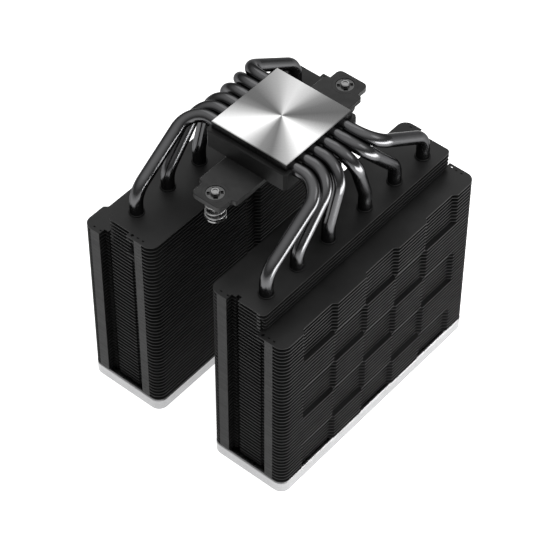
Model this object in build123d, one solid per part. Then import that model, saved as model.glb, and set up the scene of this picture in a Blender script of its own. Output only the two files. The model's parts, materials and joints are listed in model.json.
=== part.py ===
from build123d import *
import os

# Twin-tower air cooler for a processor, millimetres.
# The cooler stands on its two top covers, with the cold plate facing up.
# z = 0 is the cold plate's contact face and the origin is that face's centre.
# X runs along the towers. The front tower is on -Y and the rear tower on +Y.

# ---- driving dimensions -------------------------------------------------------------------
total_height = 145.6
tower_length = 129.8
tower_depth = 40.4
tower_gap = 30.8
tower_corner_radius = 4.7

plate_length = 42.2
plate_width = 40.2
plate_thickness = 3.8
plate_chamfer = 0.3

block_length = 46.9
block_width = 43.2
block_bottom = -12.6
block_corner = 1.3
block_edge_chamfer = 0.25

pipe_radius = 3.0
pipe_wall = 0.35
pipe_pitch_in_base = 6.5
pipe_axis_z = -5.0
pipe_row_offsets = (51.9, 32.3, 12.1)
pipe_shoulder_z = (-28.5, -31.0, -31.5)
pipe_base_bend = 11.0
pipe_tower_bend = 12.0
pipe_fit = 0.04
wick_thickness = 0.6
wick_gap = 0.02
wick_end = 3.0

stack_top = -40.0
short_fins = 5
full_rows = (9, 9, 9, 9, 8)
fin_thickness = 0.45
fin_edge_inset = 0.1
short_fin_depth = 27.8
short_fin_corner = 2.2
short_fin_end_share = 0.6
stack_to_cover = 0.3
middle_band_depth = 2.5
latch_hole_radius = 0.75
latch_hole_inset = 1.75
latch_hole_place = 27.9

tile_columns = 5
tile_width = 20.4
tile_depth = 1.85
tile_ramp = 1.6
inner_notch_width = 6.0

tab_thickness = 0.4
tab_gap = 0.08
corner_tab_width = 1.7
corner_tab_drop = 0.55
collar_flange = 0.5
collar_height = 0.7
slot_length = 1.1
slot_width = 0.6
slot_inset = 2.0
slot_from_strip_edge = 0.7

cover_height = 6.3
cover_wall = 1.3
cover_bevel = 0.5
cover_socket_wall = 1.2
cover_socket_height = 4.0
pipe_tip_clearance = 0.6

bar_thickness = 2.5
bar_half_width = 10.3
bar_half_length = 48.2
bar_shoulder = 40.7
bar_nose_half_width = 7.9
bar_nose_corner = 2.6
bar_shoulder_corner = 1.19
bar_edge_chamfer = 0.2

screw_spacing = 84.0
screw_shank_radius = 2.0
screw_tip_height = 1.1
screw_head_radius = 3.2
screw_head_height = 1.8
screw_head_rounding = 0.5
screw_tip_chamfer = 0.3
screw_dimple_radius = 1.1
screw_dimple_depth = 0.3
screw_recess_length = 3.6
screw_recess_width = 0.9
screw_recess_depth = 0.9
bush_radius = 5.65
bush_bore_radius = 2.15
bush_counterbore_radius = 4.15
bush_counterbore_depth = 0.9
ring_radius = 3.95
ring_thickness = 0.6
ring_groove_depth = 0.35
ring_windows = 4
ring_window_length = 1.9
ring_window_depth = 1.3
washer_radius = 4.65
washer_thickness = 0.8
spring_radius = 4.1
spring_wire_radius = 0.45
spring_length = 10.1
spring_turns = 3.0

fixing_screw_x = 17.0
fixing_screw_y = 7.0
fixing_head_radius = 2.75
fixing_head_height = 1.6
fixing_head_rounding = 0.6
fixing_shank_radius = 1.5
fixing_shank_length = 6.0
fixing_recess_length = 3.2
fixing_recess_depth = 0.8
running_gap = 0.05

# ---- worked out from the driving dimensions -----------------------------------------------
tower_offset = (tower_gap + tower_depth) / 2
base_z = -total_height
cover_rim = base_z + cover_height
full_fins = sum(full_rows)
fin_pitch = (stack_top - cover_rim - stack_to_cover - fin_thickness) / (short_fins + full_fins - 1)
fin_length = tower_length - 2 * fin_edge_inset
fin_depth = tower_depth - 2 * fin_edge_inset
step_z = stack_top - short_fins * fin_pitch
pipe_end = base_z + cover_wall + pipe_tip_clearance
bar_top = block_bottom
bar_bottom = bar_top - bar_thickness
spring_bottom = bar_bottom - spring_length
washer_bottom = spring_bottom - washer_thickness
bush_floor = bar_top - bush_counterbore_depth

# End-face profile of a fin, as bands measured from the tower's +Y face: start, stop, depth.
END_BANDS = (
    ("clip_groove_shelf", 9.8, 11.9, 3.6),
    ("clip_groove", 11.9, 14.0, 5.2),
    ("middle", 14.0, 25.9, middle_band_depth),
    ("notch", 25.9, 30.0, 3.4),
)
# Folded tabs close the two flat strips of each end face: start and stop of each strip.
TAB_STRIPS = ((4.7, 9.7), (30.1, 34.3))
# How a fin ends at the notch: cut away, closed with a small latch hole, or simply closed.
# The first fin of each level is the capping one and the fin under it is closed.
NOTCHED, CAPPING, CLOSED = "notched", "capping", "closed"

os.makedirs("parts", exist_ok=True)


def save(shape, name):
    """Write one node; groups of solids are joined in one compound."""
    if isinstance(shape, (list, tuple)):
        shape = Compound(children=list(shape))
    export_step(shape, f"parts/{name}.step")


def cylinder(radius, bottom, top, x=0.0, y=0.0):
    """Upright cylinder between two heights."""
    return Pos(x, y, (bottom + top) / 2) * Cylinder(radius, top - bottom)


def block_between(low, high):
    """Box between two corners."""
    size = [b - a for a, b in zip(low, high)]
    centre = [(a + b) / 2 for a, b in zip(low, high)]
    return Pos(*centre) * Box(*size)


# ---- heat pipes ---------------------------------------------------------------------------
def pipe_places():
    """Base x, tower x and shoulder height of the six pipes, from -X to +X."""
    places = []
    for sign in (-1, 1):
        for index, (tower_x, shoulder) in enumerate(zip(pipe_row_offsets, pipe_shoulder_z)):
            base_x = pipe_pitch_in_base * (2.5 - index)
            places.append((sign * base_x, sign * tower_x, shoulder))
    return sorted(places)


def pipe_route(base_x, tower_x, shoulder, end):
    """Centre line: up one tower, over through the base, and down the other tower."""
    corners = [
        (tower_x, -tower_offset, end),
        (tower_x, -tower_offset, shoulder),
        (base_x, -tower_offset, pipe_axis_z),
        (base_x, tower_offset, pipe_axis_z),
        (tower_x, tower_offset, shoulder),
        (tower_x, tower_offset, end),
    ]
    bends = [pipe_tower_bend, pipe_base_bend, pipe_base_bend, pipe_tower_bend]
    return FilletPolyline(*corners, radius=bends)


def tube(route, outer, inner):
    """Hollow round tube along a route that starts straight up."""
    start = Plane(origin=route @ 0, z_dir=route % 0)
    section = start * (Circle(outer) - Circle(inner))
    return sweep(section, path=route)


def closed_tip(x, y, end):
    """Flat plug that closes a pipe's end."""
    return cylinder(pipe_radius, end, end + 2 * pipe_wall, x, y)


def heat_pipe(base_x, tower_x, shoulder):
    """Copper tube, closed at both ends."""
    shell = tube(pipe_route(base_x, tower_x, shoulder, pipe_end), pipe_radius, pipe_radius - pipe_wall)
    for side in (-1, 1):
        shell += closed_tip(tower_x, side * tower_offset, pipe_end)
    return shell


def pipe_wick(base_x, tower_x, shoulder):
    """Sintered lining inside a heat pipe."""
    outer = pipe_radius - pipe_wall - wick_gap
    return tube(pipe_route(base_x, tower_x, shoulder, pipe_end + wick_end), outer, outer - wick_thickness)


# ---- base ---------------------------------------------------------------------------------
def pipe_grooves():
    """Round channels for the pipes, through the whole width of the base."""
    grooves = Part()
    for base_x, _, _ in pipe_places():
        channel = Rot(90, 0, 0) * Cylinder(pipe_radius + pipe_fit, 2 * block_width)
        grooves += Pos(base_x, 0, pipe_axis_z) * channel
    return grooves


def cold_plate():
    """Nickel-plated plate that touches the processor."""
    plate = block_between(
        (-plate_length / 2, -plate_width / 2, -plate_thickness),
        (plate_length / 2, plate_width / 2, 0),
    )
    plate = chamfer(plate.edges().group_by(Axis.Z)[-1], plate_chamfer)
    return plate - pipe_grooves()


def fixing_places():
    return [(x, y) for x in (-fixing_screw_x, fixing_screw_x) for y in (-fixing_screw_y, fixing_screw_y)]


def base_block():
    """Black block that clamps the pipes against the cold plate."""
    block = block_between(
        (-block_length / 2, -block_width / 2, block_bottom),
        (block_length / 2, block_width / 2, -plate_thickness),
    )
    block = chamfer(block.edges().filter_by(Axis.Z), block_corner)
    block = chamfer(block.edges().group_by(Axis.Z)[-1], block_edge_chamfer)
    block -= pipe_grooves()
    for x, y in fixing_places():
        top = bar_bottom + fixing_shank_length
        block -= cylinder(fixing_shank_radius + running_gap, block_bottom - 1, top + running_gap, x, y)
    return block


# ---- mounting bar and its captive screws --------------------------------------------------
def mounting_bar():
    """Steel bar under the base block, with a narrower lobe around each captive screw."""
    wide = Rectangle(2 * bar_shoulder, 2 * bar_half_width)
    long = Rectangle(2 * bar_half_length, 2 * bar_nose_half_width)
    outline = wide + long
    nose = outline.vertices().filter_by(lambda v: abs(v.X) > bar_half_length - 1)
    outline = fillet(nose, bar_nose_corner)
    shoulder = outline.vertices().filter_by(lambda v: abs(abs(v.X) - bar_shoulder) < 0.1)
    outline = fillet(shoulder, bar_shoulder_corner)
    bar = Pos(0, 0, bar_bottom) * extrude(outline, bar_thickness)
    bar = chamfer(bar.edges().group_by(Axis.Z)[-1], bar_edge_chamfer)
    for sign in (-1, 1):
        bar -= cylinder(bush_radius + running_gap, bar_bottom - 1, bar_top + 1, sign * screw_spacing / 2)
    for x, y in fixing_places():
        bar -= cylinder(fixing_shank_radius + running_gap, bar_bottom - 1, bar_top + 1, x, y)
    return bar


def fixing_screws():
    """Four pan-head screws that hold the bar to the block."""
    screws = []
    for x, y in fixing_places():
        head = cylinder(fixing_head_radius, bar_bottom - fixing_head_height, bar_bottom, x, y)
        head = fillet(head.edges().group_by(Axis.Z)[0], fixing_head_rounding)
        shank = cylinder(fixing_shank_radius, bar_bottom, bar_bottom + fixing_shank_length, x, y)
        recess = cross_recess(x, y, bar_bottom - fixing_head_height, fixing_recess_length, fixing_recess_depth)
        screws.append(head + shank - recess)
    return screws


def cross_recess(x, y, bottom, length, depth):
    """Cross-shaped driver recess cut up into a head from below."""
    arm = Box(length, screw_recess_width, 2 * depth)
    return Pos(x, y, bottom) * (arm + Rot(0, 0, 90) * arm)


def screw_bush(x):
    """Ring pressed in the bar, with a seat for the retaining ring."""
    bush = cylinder(bush_radius, bar_bottom, bar_top, x)
    bush -= cylinder(bush_bore_radius, bar_bottom - 1, bar_top + 1, x)
    return bush - cylinder(bush_counterbore_radius, bush_floor, bar_top + 1, x)


def retaining_ring(x):
    """Toothed ring in the screw's groove, which stops the screw from falling out."""
    inner = screw_shank_radius - ring_groove_depth + running_gap
    low = bush_floor + running_gap
    ring = cylinder(ring_radius, low, low + ring_thickness, x)
    ring -= cylinder(inner, low - 1, low + 2 * ring_thickness, x)
    window_size = (ring_window_depth, ring_window_length, 4 * ring_thickness)
    window = Pos((inner + ring_radius) / 2, 0, low) * Box(*window_size)
    for step in range(ring_windows):
        ring -= Pos(x, 0, 0) * Rot(0, 0, (step + 0.5) * 360 / ring_windows) * window
    return ring


def captive_screw(x):
    """Screw with a threaded tip; its head pushes the spring towards the bar."""
    tip = bar_top + screw_tip_height
    groove_low = bush_floor + running_gap / 2
    groove_high = groove_low + ring_thickness + running_gap
    head_low = washer_bottom - screw_head_height
    screw = cylinder(screw_shank_radius, washer_bottom, tip, x)
    screw = chamfer(screw.edges().group_by(Axis.Z)[-1], screw_tip_chamfer)
    groove = cylinder(screw_shank_radius + 1, groove_low, groove_high, x)
    groove -= cylinder(screw_shank_radius - ring_groove_depth, groove_low, groove_high, x)
    head = cylinder(screw_head_radius, head_low, washer_bottom, x)
    head = fillet(head.edges().group_by(Axis.Z)[0], screw_head_rounding)
    screw = screw - groove + head
    screw -= cylinder(screw_dimple_radius, tip - screw_dimple_depth, tip + 1, x)
    return screw - cross_recess(x, 0, head_low, screw_recess_length, screw_recess_depth)


def spring_washer(x):
    """Washer between the spring and the screw head."""
    washer = cylinder(washer_radius, washer_bottom, spring_bottom, x)
    return washer - cylinder(screw_shank_radius + running_gap, washer_bottom - 1, spring_bottom + 1, x)


def coil_spring(x):
    """Open coil from the washer up to the bar."""
    rise = spring_length - 2 * spring_wire_radius
    path = Helix(rise / spring_turns, rise, spring_radius)
    section = Plane(origin=path @ 0, z_dir=path % 0) * Circle(spring_wire_radius)
    coil = sweep(section, path=path, is_frenet=True)
    return Pos(x, 0, spring_bottom + spring_wire_radius) * coil


# ---- fins ---------------------------------------------------------------------------------
def tile_cut(centre_x, side):
    """Trapezium that sets one tile of the outer face back."""
    face = side * (tower_offset + fin_depth / 2)
    half_out = (tile_width + tile_ramp) / 2
    half_in = (tile_width - tile_ramp) / 2
    corners = [
        (centre_x - half_out, face),
        (centre_x + half_out, face),
        (centre_x + half_in, face - side * tile_depth),
        (centre_x - half_in, face - side * tile_depth),
    ]
    return make_face(Polyline(*corners, close=True))


def inner_notch(side):
    """Shallow notch at the middle of the face that looks at the other tower."""
    face = side * (tower_offset - fin_depth / 2)
    half_out = inner_notch_width / 2 + tile_ramp
    corners = [
        (-half_out, face),
        (half_out, face),
        (inner_notch_width / 2, face + side * tile_depth),
        (-inner_notch_width / 2, face + side * tile_depth),
    ]
    return make_face(Polyline(*corners, close=True))


def end_strip(side, end, start, stop, depth):
    """Rectangle cut in from one end face, between two distances from the +Y face."""
    face_y = side * tower_offset + tower_depth / 2
    centre_y = face_y - (start + stop) / 2
    centre_x = end * (fin_length / 2 - depth / 2)
    return Pos(centre_x, centre_y) * Rectangle(depth, stop - start)


def latch_hole(side, end):
    """Small round hole that the first fin has in place of the notch."""
    x = end * (fin_length / 2 - latch_hole_inset)
    return Pos(x, side * tower_offset + tower_depth / 2 - latch_hole_place) * Circle(latch_hole_radius)


def fin_outline(side, set_back_tiles, ending=NOTCHED):
    """Outline of a full fin; set_back_tiles lists the tile columns that are set back."""
    outline = Pos(0, side * tower_offset) * RectangleRounded(fin_length, fin_depth, tower_corner_radius)
    for end in (-1, 1):
        for name, start, stop, depth in END_BANDS:
            if name != "notch" or ending == NOTCHED:
                outline -= end_strip(side, end, start, stop, depth)
        if ending == CAPPING:
            outline -= latch_hole(side, end)
    for column in set_back_tiles:
        outline -= tile_cut((column - (tile_columns - 1) / 2) * tile_width, side)
    outline -= inner_notch(side)
    for _, tower_x, _ in pipe_places():
        outline -= Pos(tower_x, side * tower_offset) * Circle(pipe_radius + pipe_fit)
    return outline


def short_outline(side, ending=NOTCHED):
    """Outline of a short fin, which ends under the step of the outer side."""
    inner_face = side * (tower_offset - fin_depth / 2)
    centre_y = inner_face + side * (short_fin_depth / 2 - fin_edge_inset)
    keep_length = fin_length - 2 * middle_band_depth
    keep = Pos(0, centre_y) * RectangleRounded(keep_length, short_fin_depth, short_fin_corner)
    end_depth = 2 * short_fin_depth * short_fin_end_share
    ends = Pos(0, inner_face) * Rectangle(2 * fin_length, end_depth)
    return fin_outline(side, (), ending) & (keep + ends)


def tab_slots(side):
    """Small holes beside the folded tabs, seen on the top fins."""
    slots = Sketch()
    for end in (-1, 1):
        for start, stop in TAB_STRIPS:
            for place in (start + slot_from_strip_edge, stop - slot_from_strip_edge):
                y = side * tower_offset + tower_depth / 2 - place
                slots += Pos(end * (fin_length / 2 - slot_inset), y) * Rectangle(slot_width, slot_length)
    return slots


def tabs(side, strips):
    """Folded tabs at both ends of a fin, hanging down to the next fin."""
    height = fin_pitch - tab_gap
    pieces = Part()
    for end in (-1, 1):
        for start, stop in strips:
            y = side * tower_offset + tower_depth / 2 - (start + stop) / 2
            x = end * (fin_length - tab_thickness) / 2
            pieces += Pos(x, y, fin_thickness - height / 2) * Box(tab_thickness, stop - start, height)
    return pieces


def full_fin(side, set_back_tiles, ending=NOTCHED, tabbed=True):
    """One full fin with its lower face at z = 0."""
    outline = fin_outline(side, set_back_tiles, ending)
    if ending == CAPPING:
        outline -= tab_slots(side)
    fin = extrude(outline, fin_thickness)
    return fin + tabs(side, TAB_STRIPS) if tabbed else fin


def short_strip(side):
    """The one tab strip that a short fin reaches: it ends before the outer one."""
    return TAB_STRIPS[0] if side < 0 else TAB_STRIPS[1]


def corner_tabs(side):
    """Narrow tabs at the outer corners of a short fin, where the step starts."""
    height = fin_pitch * corner_tab_drop
    outer_face = side * (tower_offset - fin_depth / 2 + short_fin_depth - fin_edge_inset)
    y = outer_face - side * (short_fin_corner + corner_tab_width / 2)
    x = fin_length / 2 - middle_band_depth - tab_thickness / 2
    pieces = Part()
    for end in (-1, 1):
        pieces += Pos(end * x, y, fin_thickness - height / 2) * Box(tab_thickness, corner_tab_width, height)
    return pieces


def short_fin(side, ending=NOTCHED):
    """One short fin with its lower face at z = 0."""
    outline = short_outline(side, ending)
    if ending == CAPPING:
        outline -= tab_slots(side)
    fin = extrude(outline, fin_thickness) + tabs(side, (short_strip(side),))
    return fin + corner_tabs(side) if side < 0 else fin


def stack(shapes, first):
    """Fins placed one under the other, starting at fin number first."""
    top = stack_top - fin_thickness - first * fin_pitch
    return [Pos(0, 0, top - index * fin_pitch) * shape for index, shape in enumerate(shapes)]


def tower_fins(side, name):
    """The step block and the five tiled rows of one tower."""
    level_start = [CAPPING, CLOSED]
    endings = level_start + [NOTCHED] * (short_fins - len(level_start))
    save(stack([short_fin(side, ending) for ending in endings], 0), f"{name}_fins_step")
    first = short_fins
    for row, count in enumerate(full_rows):
        set_back = [column for column in range(tile_columns) if (column + row) % 2 == 0]
        fins = [full_fin(side, set_back)] * count
        if row == 0:
            fins[:len(level_start)] = [full_fin(side, set_back, ending) for ending in level_start]
        if row == len(full_rows) - 1:
            fins[-1] = full_fin(side, set_back, tabbed=False)
        save(stack(fins, first), f"{name}_fins_row_{row + 1}")
        first += count


def pipe_collars(side):
    """Solder rings where the pipes enter the first fin."""
    collars = []
    for _, tower_x, _ in pipe_places():
        top = stack_top + collar_height
        ring = cylinder(pipe_radius + collar_flange, stack_top, top, tower_x, side * tower_offset)
        ring = chamfer(ring.edges().group_by(Axis.Z)[-1], collar_flange / 2)
        bore = cylinder(pipe_radius + pipe_fit, stack_top - 1, stack_top + 2, tower_x, side * tower_offset)
        collars.append(ring - bore)
    return collars


# ---- covers -------------------------------------------------------------------------------
def top_cover(side):
    """Hollow aluminium cap at the end of a tower, pushed on the pipe tips."""
    outline = RectangleRounded(tower_length, tower_depth, tower_corner_radius)
    hollow = offset(outline, -cover_wall)
    cap = extrude(outline, cover_height)
    cap = chamfer(cap.edges().group_by(Axis.Z)[0], cover_bevel)
    cap -= Pos(0, 0, cover_wall) * extrude(hollow, cover_height)
    cap = chamfer(cap.faces().sort_by(Axis.Z)[-1].outer_wire().edges(), cover_bevel)
    for _, tower_x, _ in pipe_places():
        bore_radius = pipe_radius + pipe_fit
        socket = cylinder(bore_radius + cover_socket_wall, cover_wall, cover_socket_height, tower_x)
        cap += socket
        cap -= cylinder(bore_radius, cover_wall, cover_height, tower_x)
    return Pos(0, side * tower_offset, base_z) * cap


# ---- write every node ---------------------------------------------------------------------
save(cold_plate(), "cold_plate")
save(base_block(), "base_block")
save(mounting_bar(), "mounting_bar")
save(fixing_screws(), "bar_fixing_screws")

for number, place in enumerate(pipe_places(), start=1):
    save(heat_pipe(*place), f"heat_pipe_{number}")
    save(pipe_wick(*place), f"pipe_wick_{number}")

for tower_name, tower_side in (("front", -1), ("rear", 1)):
    tower_fins(tower_side, tower_name)
    save(pipe_collars(tower_side), f"{tower_name}_pipe_collars")
    save(top_cover(tower_side), f"{tower_name}_cover")

for screw_name, screw_x in (("left", -screw_spacing / 2), ("right", screw_spacing / 2)):
    save(screw_bush(screw_x), f"{screw_name}_bush")
    save(retaining_ring(screw_x), f"{screw_name}_retaining_ring")
    save(captive_screw(screw_x), f"{screw_name}_captive_screw")
    save(spring_washer(screw_x), f"{screw_name}_spring_washer")
    save(coil_spring(screw_x), f"{screw_name}_spring")
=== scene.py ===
import json
import math

import bpy
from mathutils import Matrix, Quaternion, Vector


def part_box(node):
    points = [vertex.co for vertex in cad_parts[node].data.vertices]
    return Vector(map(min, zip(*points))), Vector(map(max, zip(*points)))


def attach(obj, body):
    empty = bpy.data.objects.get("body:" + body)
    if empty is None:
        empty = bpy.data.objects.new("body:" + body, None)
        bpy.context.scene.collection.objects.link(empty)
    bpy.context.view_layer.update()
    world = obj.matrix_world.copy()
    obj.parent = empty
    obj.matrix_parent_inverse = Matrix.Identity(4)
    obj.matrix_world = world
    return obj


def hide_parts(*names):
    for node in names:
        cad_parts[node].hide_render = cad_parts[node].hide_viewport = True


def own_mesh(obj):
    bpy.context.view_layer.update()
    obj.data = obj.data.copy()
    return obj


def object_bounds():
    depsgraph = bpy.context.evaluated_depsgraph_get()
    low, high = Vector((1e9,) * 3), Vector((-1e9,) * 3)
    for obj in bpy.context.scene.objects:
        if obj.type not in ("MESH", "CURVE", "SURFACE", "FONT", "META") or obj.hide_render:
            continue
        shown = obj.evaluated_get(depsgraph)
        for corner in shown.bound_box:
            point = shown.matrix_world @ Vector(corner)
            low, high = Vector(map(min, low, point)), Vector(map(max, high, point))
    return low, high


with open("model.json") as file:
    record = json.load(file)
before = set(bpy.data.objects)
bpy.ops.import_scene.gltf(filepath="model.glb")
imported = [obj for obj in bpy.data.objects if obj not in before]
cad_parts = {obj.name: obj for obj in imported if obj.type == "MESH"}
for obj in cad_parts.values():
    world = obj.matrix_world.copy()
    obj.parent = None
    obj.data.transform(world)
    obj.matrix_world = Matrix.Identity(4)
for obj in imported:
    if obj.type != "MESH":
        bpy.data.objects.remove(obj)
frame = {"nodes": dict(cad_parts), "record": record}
cad_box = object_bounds()
MM = 0.001


# ---- materials ----------------------------------------------------------------------------
def set_range(node, start, stop, low, high):
    """Values of a Map Range node that turns start to stop into low to high."""
    for key, value in (("From Min", start), ("From Max", stop), ("To Min", low), ("To Max", high)):
        node.inputs[key].default_value = value


class Shader:
    """A Principled material with a few short helpers for its nodes."""

    def __init__(self, name, **values):
        self.material = bpy.data.materials.new(name)
        self.material.use_nodes = True
        self.tree = self.material.node_tree
        self.bsdf = self.tree.nodes["Principled BSDF"]
        for key, value in values.items():
            self.bsdf.inputs[key.replace("_", " ")].default_value = value
        self.place = self.node("ShaderNodeTexCoord").outputs["Object"]

    def node(self, kind, **settings):
        made = self.tree.nodes.new(kind)
        for key, value in settings.items():
            setattr(made, key, value)
        return made

    def link(self, source, target):
        self.tree.links.new(source, target)

    def scaled(self, scale):
        """Position in metres times a scale for each axis."""
        made = self.node("ShaderNodeMapping")
        made.inputs["Scale"].default_value = scale
        self.link(self.place, made.inputs["Vector"])
        return made.outputs["Vector"]

    def noise(self, scale, detail):
        """Noise from 0 to 1, with a scale in features per metre for each axis."""
        made = self.node("ShaderNodeTexNoise")
        made.inputs["Scale"].default_value = 1.0
        made.inputs["Detail"].default_value = detail
        made.inputs["Roughness"].default_value = 0.5
        self.link(self.scaled(scale), made.inputs["Vector"])
        return made.outputs["Fac"]

    def spread(self, factor, low, high, start=0.3, stop=0.7):
        """Map a factor to a range of numbers."""
        made = self.node("ShaderNodeMapRange", clamp=True)
        set_range(made, start, stop, low, high)
        self.link(factor, made.inputs["Value"])
        return made.outputs["Result"]

    def ramp(self, factor, stops):
        """Colours along a factor; a stop is a place with a grey or a colour."""
        made = self.node("ShaderNodeValToRGB")
        points = made.color_ramp.elements
        while len(points) < len(stops):
            points.new(0.5)
        for point, (place, grey) in zip(points, stops):
            point.position = place
            point.color = (*grey, 1.0) if isinstance(grey, tuple) else (grey, grey, grey, 1.0)
        self.link(factor, made.inputs["Fac"])
        return made.outputs["Color"]

    def bump(self, height, distance, strength):
        """Surface relief from a height; the distance is in metres."""
        made = self.node("ShaderNodeBump")
        made.inputs["Distance"].default_value = distance
        made.inputs["Strength"].default_value = strength
        self.link(height, made.inputs["Height"])
        self.link(made.outputs["Normal"], self.bsdf.inputs["Normal"])

    def mix(self, factor, first, second):
        """Blend two colours."""
        made = self.node("ShaderNodeMix", data_type="RGBA")
        self.link(factor, made.inputs[0])
        self.link(first, made.inputs[6])
        self.link(second, made.inputs[7])
        return made.outputs[2]

    def product(self, first, second):
        """Multiply two colours."""
        made = self.node("ShaderNodeMix", data_type="RGBA", blend_type="MULTIPLY")
        made.inputs[0].default_value = 1.0
        self.link(first, made.inputs[6])
        self.link(second, made.inputs[7])
        return made.outputs[2]

    def flatness(self):
        """1 on faces that look up or down, 0 on upright ones."""
        split = self.node("ShaderNodeSeparateXYZ")
        self.link(self.node("ShaderNodeNewGeometry").outputs["Normal"], split.inputs["Vector"])
        size = self.node("ShaderNodeMath", operation="ABSOLUTE")
        self.link(split.outputs["Z"], size.inputs[0])
        return self.spread(size.outputs["Value"], 0.0, 1.0)

    def colour(self, socket):
        self.link(socket, self.bsdf.inputs["Base Color"])

    def roughness(self, socket):
        self.link(socket, self.bsdf.inputs["Roughness"])


def fin_black():
    """Satin black coating with a little unevenness and fine grain; its upright faces are painted darker
    and reflect less, as painted shade.
    """
    s = Shader("fin_black", Metallic=0.0, IOR=1.33)
    face = s.ramp(s.noise((60, 60, 60), 3), ((0.3, 0.012), (0.7, 0.022)))
    # Painted shade: upright faces get a darker colour than flat ones and a dimmer reflection tint.
    upright_painted_shade = s.ramp(s.noise((90, 90, 400), 3), ((0.3, 0.012), (0.7, 0.017)))
    flat = s.flatness()
    s.colour(s.mix(flat, upright_painted_shade, face))
    s.link(s.ramp(flat, ((0.0, 0.3), (1.0, 1.0))), s.bsdf.inputs["Specular Tint"])
    s.roughness(s.spread(s.noise((25, 25, 900), 2), 0.42, 0.52))
    s.bump(s.noise((2500, 2500, 2500), 2), 0.00002, 0.4)
    return s.material


def black_metal(name, low, high, rough):
    """Black coated or blackened steel, between two greys."""
    s = Shader(name, Metallic=0.0, IOR=1.35)
    s.colour(s.ramp(s.noise((80, 80, 80), 3), ((0.3, low), (0.7, high))))
    s.roughness(s.spread(s.noise((300, 300, 300), 3), rough - 0.06, rough + 0.06))
    s.bump(s.noise((3000, 3000, 3000), 2), 0.00002, 0.5)
    return s.material


def bright_metal(name, grey, rough, grain=(900, 900, 900)):
    """Bare metal with a little grain; the grain's scale is given for each axis."""
    s = Shader(name, Metallic=1.0)
    low = tuple(0.9 * c for c in grey)
    s.colour(s.ramp(s.noise((120, 120, 120), 3), ((0.3, low), (0.7, grey))))
    s.roughness(s.spread(s.noise(grain, 3), rough - 0.05, rough + 0.05))
    s.bump(s.noise(grain, 2), 0.00001, 0.4)
    return s.material


TURNED_RINGS_PER_METRE = 9000.0
# Painted highlight on the turned face, a star of bright and dark sectors put into its colour around its
# centre: share of a turn from +X towards +Y, and grey.
PAINTED_STAR_HIGHLIGHT = (
    (0.0, 0.52), (0.05, 0.68), (0.085, 0.60), (0.125, 0.38), (0.17, 0.24), (0.21, 0.14), (0.25, 0.13),
    (0.29, 0.22), (0.335, 0.54), (0.375, 0.90), (0.46, 0.92), (0.50, 0.54), (0.54, 0.23), (0.58, 0.17),
    (0.625, 0.45), (0.665, 0.90), (0.75, 0.90), (0.79, 0.50), (0.83, 0.20), (0.875, 0.125), (0.92, 0.16),
    (0.96, 0.27),
)


def turned_plate():
    """Nickel face with the fine circles that a lathe leaves, and a star of bright and dark wedges
    painted into its colour as a painted highlight.
    """
    s = Shader("cold_plate_nickel", Metallic=1.0, Anisotropic=0.5)
    split = s.node("ShaderNodeSeparateXYZ")
    s.link(s.place, split.inputs["Vector"])
    across = s.node("ShaderNodeCombineXYZ")
    s.link(split.outputs["X"], across.inputs["X"])
    s.link(split.outputs["Y"], across.inputs["Y"])
    distance = s.node("ShaderNodeVectorMath", operation="LENGTH")
    s.link(across.outputs["Vector"], distance.inputs[0])
    rings = s.node("ShaderNodeTexNoise", noise_dimensions="1D")
    rings.inputs["Scale"].default_value = TURNED_RINGS_PER_METRE
    rings.inputs["Detail"].default_value = 3.0
    s.link(distance.outputs["Value"], rings.inputs["W"])
    angle = s.node("ShaderNodeMath", operation="ARCTAN2")
    s.link(split.outputs["Y"], angle.inputs[0])
    s.link(split.outputs["X"], angle.inputs[1])
    turn = s.node("ShaderNodeMath", operation="DIVIDE")
    s.link(angle.outputs["Value"], turn.inputs[0])
    turn.inputs[1].default_value = math.tau
    share = s.node("ShaderNodeMath", operation="WRAP")
    s.link(turn.outputs["Value"], share.inputs[0])
    share.inputs[1].default_value = 1.0
    share.inputs[2].default_value = 0.0
    # Painted highlight: bright and dark sectors around the centre, painted into the base colour.
    painted_highlight_sectors = s.ramp(share.outputs["Value"], (*PAINTED_STAR_HIGHLIGHT, (1.0, PAINTED_STAR_HIGHLIGHT[0][1])))
    grain = s.ramp(rings.outputs["Fac"], ((0.3, 0.80), (0.7, 1.0)))
    # Painted shade: the plate's upright sides get a near-black colour instead of the nickel of its face.
    side = s.ramp(rings.outputs["Fac"], ((0.3, 0.05), (0.7, 0.08)))
    s.colour(s.mix(s.flatness(), side, s.product(painted_highlight_sectors, grain)))
    s.roughness(s.spread(rings.outputs["Fac"], 0.26, 0.36))
    s.bump(rings.outputs["Fac"], 0.000002, 0.4)
    tangent = s.node("ShaderNodeVectorMath", operation="CROSS_PRODUCT")
    s.link(across.outputs["Vector"], tangent.inputs[0])
    tangent.inputs[1].default_value = (0, 0, 1)
    unit = s.node("ShaderNodeVectorMath", operation="NORMALIZE")
    s.link(tangent.outputs["Vector"], unit.inputs[0])
    s.link(unit.outputs["Vector"], s.bsdf.inputs["Tangent"])
    return s.material


def black_nickel():
    """Glossy dark plating of the heat pipes."""
    s = Shader("pipe_black_nickel", Metallic=1.0, Specular_Tint=(0.35, 0.35, 0.35, 1.0))
    dark, light = (0.105, 0.105, 0.108), (0.125, 0.125, 0.128)
    s.colour(s.ramp(s.noise((70, 70, 70), 3), ((0.3, dark), (0.7, light))))
    s.roughness(s.spread(s.noise((60, 60, 60), 2), 0.17, 0.23))
    s.bump(s.noise((1500, 1500, 1500), 2), 0.000003, 0.3)
    return s.material


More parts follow.
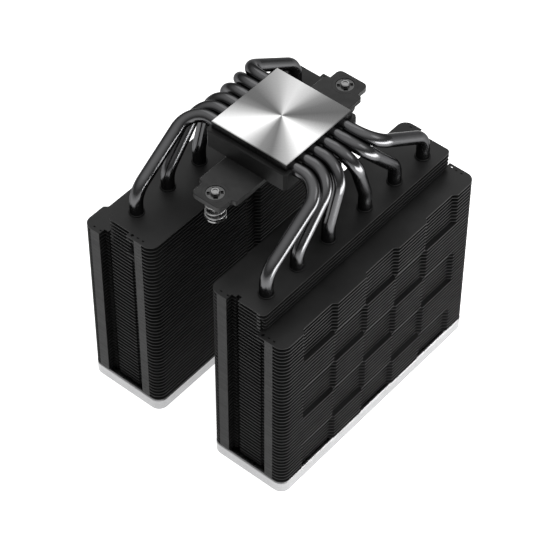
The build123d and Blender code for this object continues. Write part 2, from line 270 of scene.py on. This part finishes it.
materials = {
    "cold_plate_nickel": turned_plate(),
    "base_block_black": black_metal("base_block_black", 0.008, 0.013, 0.42),
    "bar_black_steel": black_metal("bar_black_steel", 0.014, 0.022, 0.42),
    "black_screw_steel": black_metal("black_screw_steel", 0.02, 0.03, 0.35),
    "pipe_black_nickel": black_nickel(),
    "wick_copper": bright_metal("wick_copper", (0.62, 0.33, 0.2), 0.5),
    "fin_black": fin_black(),
    "collar_dark": black_metal("collar_dark", 0.004, 0.008, 0.55),
    "cover_aluminium": bright_metal("cover_aluminium", (0.42, 0.42, 0.425), 0.30, (400, 400, 4000)),
    "ring_steel": bright_metal("ring_steel", (0.10, 0.10, 0.10), 0.30),
    "screw_steel": bright_metal("screw_steel", (0.26, 0.26, 0.26), 0.26),
    "spring_steel": bright_metal("spring_steel", (0.36, 0.36, 0.36), 0.30, (200, 200, 200)),
}
for part in frame["record"]["subparts"]:
    node = frame["nodes"][part["node"]]
    node.data.materials.clear()
    node.data.materials.append(materials[part["material_slot"]])


# ---- springs ------------------------------------------------------------------------------
SPRING_WIRE_RADIUS = 0.45 * MM
SPRING_ACTIVE_TURNS = 2.0
TURN_STEPS = 56
WIRE_SIDES = 20


def tube_mesh(name, path, radius, sides):
    """Round wire along a path that winds about +Z; its section stays square to the path."""
    points = []
    for index, place in enumerate(path):
        ahead = path[min(index + 1, len(path) - 1)]
        behind = path[max(index - 1, 0)]
        along = (ahead - behind).normalized()
        side = along.cross(Vector((0, 0, 1))).normalized()
        rise = side.cross(along)
        for corner in range(sides):
            angle = math.tau * corner / sides
            points.append(place + radius * (math.cos(angle) * side + math.sin(angle) * rise))
    faces = []
    for ring in range(len(path) - 1):
        for corner in range(sides):
            a = ring * sides + corner
            b = ring * sides + (corner + 1) % sides
            faces.append((a, b, b + sides, a + sides))
    faces.append(tuple(reversed(range(sides))))
    faces.append(tuple(range(len(points) - sides, len(points))))
    mesh = bpy.data.meshes.new(name)
    mesh.from_pydata(points, [], faces)
    mesh.shade_smooth()
    return mesh


def closed_spring(side):
    """Compression spring with a closed turn at each end, in the room of the plain CAD coil."""
    corner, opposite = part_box(f"{side}_spring")
    centre_x = (corner.x + opposite.x) / 2
    radius = (opposite.x - corner.x) / 2 - SPRING_WIRE_RADIUS
    bottom, top = corner.z + SPRING_WIRE_RADIUS, opposite.z - SPRING_WIRE_RADIUS
    wire = 2 * SPRING_WIRE_RADIUS
    turns = SPRING_ACTIVE_TURNS + 2
    path = []
    for step in range(int(turns * TURN_STEPS) + 1):
        turn = step / TURN_STEPS
        active = min(max(turn - 1, 0), SPRING_ACTIVE_TURNS)
        closed = turn - active
        z = bottom + closed * wire + active / SPRING_ACTIVE_TURNS * (top - bottom - 2 * wire)
        angle = math.tau * turn
        path.append(Vector((centre_x + radius * math.cos(angle), radius * math.sin(angle), z)))
    mesh = tube_mesh(f"{side}_closed_spring", path, SPRING_WIRE_RADIUS, WIRE_SIDES)
    spring = bpy.data.objects.new(mesh.name, mesh)
    bpy.context.scene.collection.objects.link(spring)
    mesh.materials.append(materials["spring_steel"])
    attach(spring, "root")
    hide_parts(f"{side}_spring")
    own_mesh(spring)


for spring_side in ("left", "right"):
    closed_spring(spring_side)

# ---- floor, lights and camera -------------------------------------------------------------
FLOOR_SIZE = 6.0
FLOOR_GAP = 0.2 * MM
# The floor's own light: strength at its middle and far out, and where it starts and stops falling.
POOL_LIGHT = (0.95, 0.25)
POOL_FADE = (0.34, 0.75)
# The sky's strength low and high, and the heights of the direction between which it rises.
SKY_LIGHT = (0.18, 0.98)
SKY_HEIGHTS = (0.25, 0.9)
BODY_MIDDLE = (0, 0, -0.07)
PIPE_BENDS = (-0.02, -0.03, -0.02)
# Name, place, target, width and height, and power. The last lights the pipes' bends from below.
LAMPS = (
    ("top", (0.75, 0.65, 1.15), BODY_MIDDLE, (1.1, 1.1), 2.8),
    ("front", (0.5, -1.0, 1.0), BODY_MIDDLE, (0.8, 0.6), 2),
    ("low_card", (0.06, -0.30, -0.135), PIPE_BENDS, (0.42, 0.18), 2.2),
)
# Focal length and frame width of the photo, in pixels, and the distances the camera clips at.
FOCAL_PIXELS = 2326.385
FRAME_PIXELS = 533
CLIP_NEAR, CLIP_FAR = 0.01, 20


def white_floor(z):
    """Plain pale floor under the covers, with a soft pool of light around the object."""
    s = Shader("floor_white", Roughness=0.9)
    s.bsdf.inputs["Base Color"].default_value = (0.8, 0.8, 0.8, 1)
    s.bsdf.inputs["Emission Color"].default_value = (1, 1, 1, 1)
    reach = s.node("ShaderNodeVectorMath", operation="LENGTH")
    s.link(s.place, reach.inputs[0])
    glow = s.spread(reach.outputs["Value"], *POOL_LIGHT, *POOL_FADE)
    s.link(glow, s.bsdf.inputs["Emission Strength"])
    bpy.ops.mesh.primitive_plane_add(size=FLOOR_SIZE, location=(0, 0, z))
    floor = bpy.context.object
    floor.name = "floor"
    floor.data.materials.append(s.material)


def studio_sky():
    """White surroundings, dim up to a low height and bright overhead."""
    world = bpy.data.worlds.new("studio")
    world.use_nodes = True
    bpy.context.scene.world = world
    tree = world.node_tree
    sky = tree.nodes["Background"]
    sky.inputs["Color"].default_value = (1, 1, 1, 1)
    direction = tree.nodes.new("ShaderNodeTexCoord")
    height = tree.nodes.new("ShaderNodeSeparateXYZ")
    rise = tree.nodes.new("ShaderNodeMapRange")
    set_range(rise, *SKY_HEIGHTS, *SKY_LIGHT)
    tree.links.new(direction.outputs["Generated"], height.inputs["Vector"])
    tree.links.new(height.outputs["Z"], rise.inputs["Value"])
    tree.links.new(rise.outputs["Result"], sky.inputs["Strength"])


def area_light(name, place, target, size, power):
    """Rectangular soft light that faces a target."""
    lamp = bpy.data.lights.new(name, "AREA")
    lamp.shape = "RECTANGLE"
    lamp.size, lamp.size_y = size
    lamp.energy = power
    holder = bpy.data.objects.new(name, lamp)
    bpy.context.scene.collection.objects.link(holder)
    holder.location = place
    holder.rotation_euler = (Vector(target) - Vector(place)).to_track_quat("-Z", "Y").to_euler()


def add_camera(azimuth, elevation, roll, target, distance, focal_share):
    """Camera aimed at a target in millimetres; focal_share is focal length over sensor width."""
    a, e = math.radians(azimuth), math.radians(elevation)
    back = Vector((math.sin(a) * math.cos(e), -math.cos(a) * math.cos(e), math.sin(e)))
    turn = (-back).to_track_quat("-Z", "Y")
    turn.rotate(Quaternion(back, math.radians(roll)))
    camera = bpy.data.cameras.new("camera")
    camera.lens = focal_share * camera.sensor_width
    camera.clip_start, camera.clip_end = CLIP_NEAR, CLIP_FAR
    holder = bpy.data.objects.new("camera", camera)
    bpy.context.scene.collection.objects.link(holder)
    holder.location = (Vector(target) + back * distance) * MM
    holder.rotation_mode = "QUATERNION"
    holder.rotation_quaternion = turn
    bpy.context.scene.camera = holder


white_floor(cad_box[0].z - FLOOR_GAP)
bpy.context.scene.view_settings.view_transform = "Standard"
studio_sky()

for lamp_values in LAMPS:
    area_light(*lamp_values)

add_camera(
    azimuth=-49.758,
    elevation=47.438,
    roll=0.011,
    target=(-14.823, -4.345, -76.622),
    distance=1004.775,
    focal_share=FOCAL_PIXELS / FRAME_PIXELS,
)
